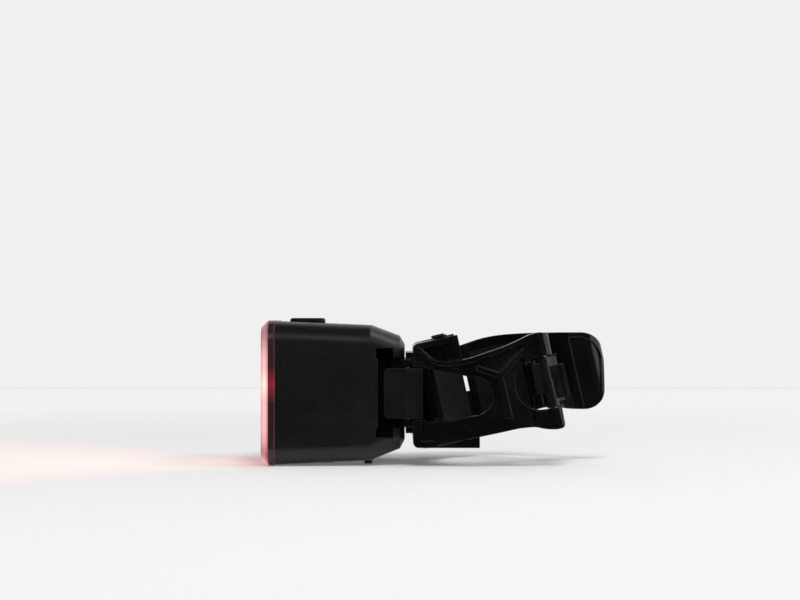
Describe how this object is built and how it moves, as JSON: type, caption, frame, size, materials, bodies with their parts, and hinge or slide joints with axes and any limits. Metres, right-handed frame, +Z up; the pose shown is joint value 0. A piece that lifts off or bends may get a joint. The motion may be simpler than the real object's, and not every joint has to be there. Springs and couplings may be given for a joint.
{
  "type": "bicycle rear light",
  "caption": "Square rechargeable bicycle rear light with a red lens, on a slide-off bracket with a hinged quick-release seat-post clamp and a toothed latch.",
  "frame": {"origin": "centre of the bounding box, on the surface that the light stands on", "axes": "+X runs back from the lens to the clamp's paddle, +Y away from the side where the bracket slides out, +Z up"},
  "size_m": [0.0854, 0.0404, 0.036],
  "materials": {
    "housing_plastic": "matte",
    "red_lens": "gloss",
    "bezel_plastic": "gloss",
    "seal_rubber": "matte",
    "clear_optic": "gloss",
    "emitter_resin": "satin",
    "board_laminate": "satin",
    "chip_resin": "matte",
    "steel": "satin",
    "battery_can": "satin",
    "foam": "matte",
    "lead_strip": "satin",
    "button_rubber": "matte",
    "clamp_plastic": "gloss",
    "pad_rubber": "matte",
    "tab_plastic": "satin",
    "latch_plastic": "satin"
  },
  "bodies": {
    "head": {"housing": "housing_plastic", "lens_cover": "red_lens", "lens_bezel": "bezel_plastic", "lens_seal": "seal_rubber", "optic": "clear_optic", "emitters": "emitter_resin", "circuit_board": "board_laminate", "board_chips": "chip_resin", "board_screws": "steel", "battery": "battery_can", "battery_pad": "foam", "battery_leads": "lead_strip", "charging_socket": "steel", "power_switch": "chip_resin"},
    "button": {"button_cap": "button_rubber", "switch_plunger": "chip_resin"},
    "port_cover": {"port_cover": "button_rubber"},
    "bracket": {"bracket": "clamp_plastic", "saddle_pad": "pad_rubber", "near_arm_pad": "pad_rubber", "tab_pin": "steel", "hinge_pin": "steel", "latch_pin": "steel"},
    "release_tab": {"release_tab": "tab_plastic"},
    "clamp_arm": {"clamp_arm": "clamp_plastic", "clamp_arm_pad": "pad_rubber"},
    "latch": {"latch": "latch_plastic"}
  },
  "joints": [
    {"name": "bracket_slide", "type": "slide", "parent": "head", "child": "bracket", "axis": [0, -1, 0], "range_m": [0, 0.027]},
    {"name": "button_press", "type": "slide", "parent": "head", "child": "button", "axis": [0, 0, -1], "range_m": [0, 0.0006], "stiffness_N_per_m": 800},
    {"name": "port_cover_flap", "type": "hinge", "parent": "head", "child": "port_cover", "pos_m": [-0.03165, -0.0004, 0.0007], "axis": [0, 1, 0], "range_deg": [0, 100], "stiffness_Nm_per_rad": 0.002},
    {"name": "tab_rock", "type": "hinge", "parent": "bracket", "child": "release_tab", "pos_m": [-0.007, -0.0144, 0.0177], "axis": [0, 0, 1], "range_deg": [0, 14], "stiffness_Nm_per_rad": 0.05},
    {"name": "arm_hinge", "type": "hinge", "parent": "bracket", "child": "clamp_arm", "pos_m": [0.00537, 0.018, 0.01563], "axis": [-0.2164, 0, 0.9763], "range_deg": [0, 100]},
    {"name": "latch_hinge", "type": "hinge", "parent": "bracket", "child": "latch", "pos_m": [0.02714, -0.01659, 0.02046], "axis": [-0.2164, 0, 0.9763], "range_deg": [0, 28], "stiffness_Nm_per_rad": 0.03}
  ]
}
